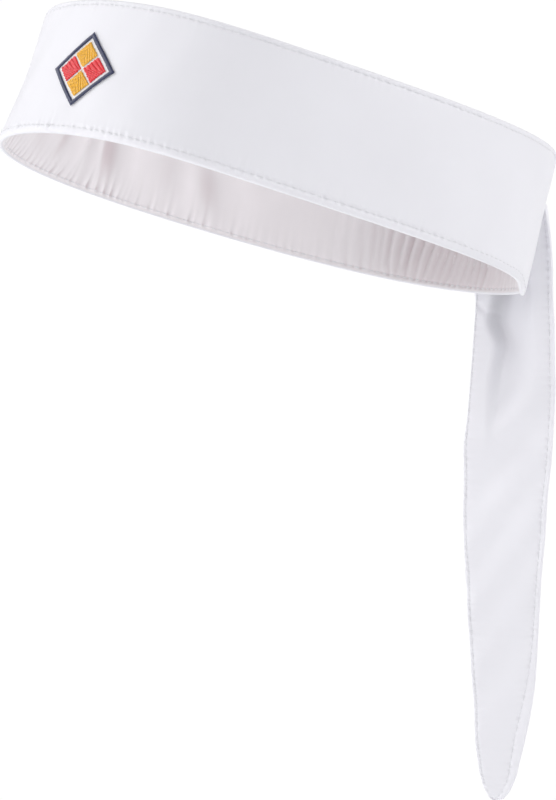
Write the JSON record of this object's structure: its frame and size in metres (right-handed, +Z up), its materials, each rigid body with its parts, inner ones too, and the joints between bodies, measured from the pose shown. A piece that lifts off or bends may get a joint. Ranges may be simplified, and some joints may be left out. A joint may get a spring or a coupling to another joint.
{
  "type": "sports headband",
  "caption": "Tie-back racket-sports headband: lined stitched cloth ring with a small embroidered lozenge badge, a knot at the back and hanging tapered tails.",
  "frame": {"origin": "where the inside of the lining meets the middle of the wearer's forehead: the forehead_contact mount, at the front centre and mid height of the band", "axes": "+X to the wearer's left, -Y the way the face looks, +Z up; the band is tilted 19.8 degrees, front edge high, and the tails hang along -Z"},
  "size_m": [0.1692, 0.2253, 0.2981],
  "materials": {
    "white_microfibre": "woven polyester microfibre with a soft matt peach finish",
    "pale_lining": "smooth satin lining, faintly pink-grey",
    "white_interlining": "brushed non-woven interlining",
    "white_elastic": "flat woven elastic",
    "white_thread": "polyester sewing thread",
    "white_twill": "twill badge ground",
    "navy_thread": "satin-stitch embroidery, slight sheen",
    "yellow_thread": "satin-stitch embroidery, slight sheen",
    "red_thread": "satin-stitch embroidery, slight sheen",
    "label_satin": "blank woven satin label"
  },
  "bodies": {
    "headband": {"outer_shell": "white_microfibre", "lining": "pale_lining", "interlining": "white_interlining", "back_elastic": "white_elastic", "top_needle_thread": "white_thread", "bottom_needle_thread": "white_thread", "top_bobbin_thread": "white_thread", "bottom_bobbin_thread": "white_thread", "care_label": "label_satin", "badge_ground": "white_twill", "badge_border": "navy_thread", "badge_top_cell": "yellow_thread", "badge_bottom_cell": "yellow_thread", "badge_left_cell": "red_thread", "badge_right_cell": "red_thread", "left_tie": "white_microfibre", "right_tie": "white_microfibre", "knot_core": "white_microfibre", "knot_wrap": "white_microfibre", "left_tail_neck": "white_microfibre", "right_tail_neck": "white_microfibre"},
    "left_gather": {"left_tail_gather": "white_microfibre"},
    "left_upper": {"left_tail_upper_front_ply": "white_microfibre", "left_tail_upper_back_ply": "white_microfibre", "left_tail_upper_inner_thread": "white_thread", "left_tail_upper_outer_thread": "white_thread"},
    "left_lower": {"left_tail_lower_front_ply": "white_microfibre", "left_tail_lower_back_ply": "white_microfibre", "left_tail_lower_thread": "white_thread"},
    "right_gather": {"right_tail_gather": "white_microfibre"},
    "right_upper": {"right_tail_upper_front_ply": "white_microfibre", "right_tail_upper_back_ply": "white_microfibre", "right_tail_upper_inner_thread": "white_thread", "right_tail_upper_outer_thread": "white_thread"},
    "right_lower": {"right_tail_lower_front_ply": "white_microfibre", "right_tail_lower_back_ply": "white_microfibre", "right_tail_lower_thread": "white_thread"}
  },
  "joints": [
    {"name": "left_tail_sway", "type": "hinge", "parent": "headband", "child": "left_gather", "pos_m": [0.00153, 0.18706, -0.04523], "axis": [0.4384, -0.8988, 0], "range_deg": [-6, 25], "stiffness_Nm_per_rad": 0.0005},
    {"name": "left_tail_swing", "type": "hinge", "parent": "left_gather", "child": "left_upper", "pos_m": [0.00153, 0.18706, -0.04523], "axis": [0.8988, 0.4384, 0], "range_deg": [-4, 70], "stiffness_Nm_per_rad": 0.0003},
    {"name": "left_tail_bend", "type": "hinge", "parent": "left_upper", "child": "left_lower", "pos_m": [0.00153, 0.18706, -0.14923], "axis": [0.8988, 0.4384, 0], "range_deg": [-60, 70], "stiffness_Nm_per_rad": 0.0002},
    {"name": "right_tail_sway", "type": "hinge", "parent": "headband", "child": "right_gather", "pos_m": [-0.02513, 0.19632, -0.07923], "axis": [0.8988, 0.4384, 0], "range_deg": [-10, 25], "stiffness_Nm_per_rad": 0.0005},
    {"name": "right_tail_swing", "type": "hinge", "parent": "right_gather", "child": "right_upper", "pos_m": [-0.02513, 0.19632, -0.07923], "axis": [-0.4384, 0.8988, 0], "range_deg": [-35, 75], "stiffness_Nm_per_rad": 0.0003},
    {"name": "right_tail_bend", "type": "hinge", "parent": "right_upper", "child": "right_lower", "pos_m": [-0.02513, 0.19632, -0.15723], "axis": [-0.4384, 0.8988, 0], "range_deg": [-60, 70], "stiffness_Nm_per_rad": 0.0002}
  ]
}
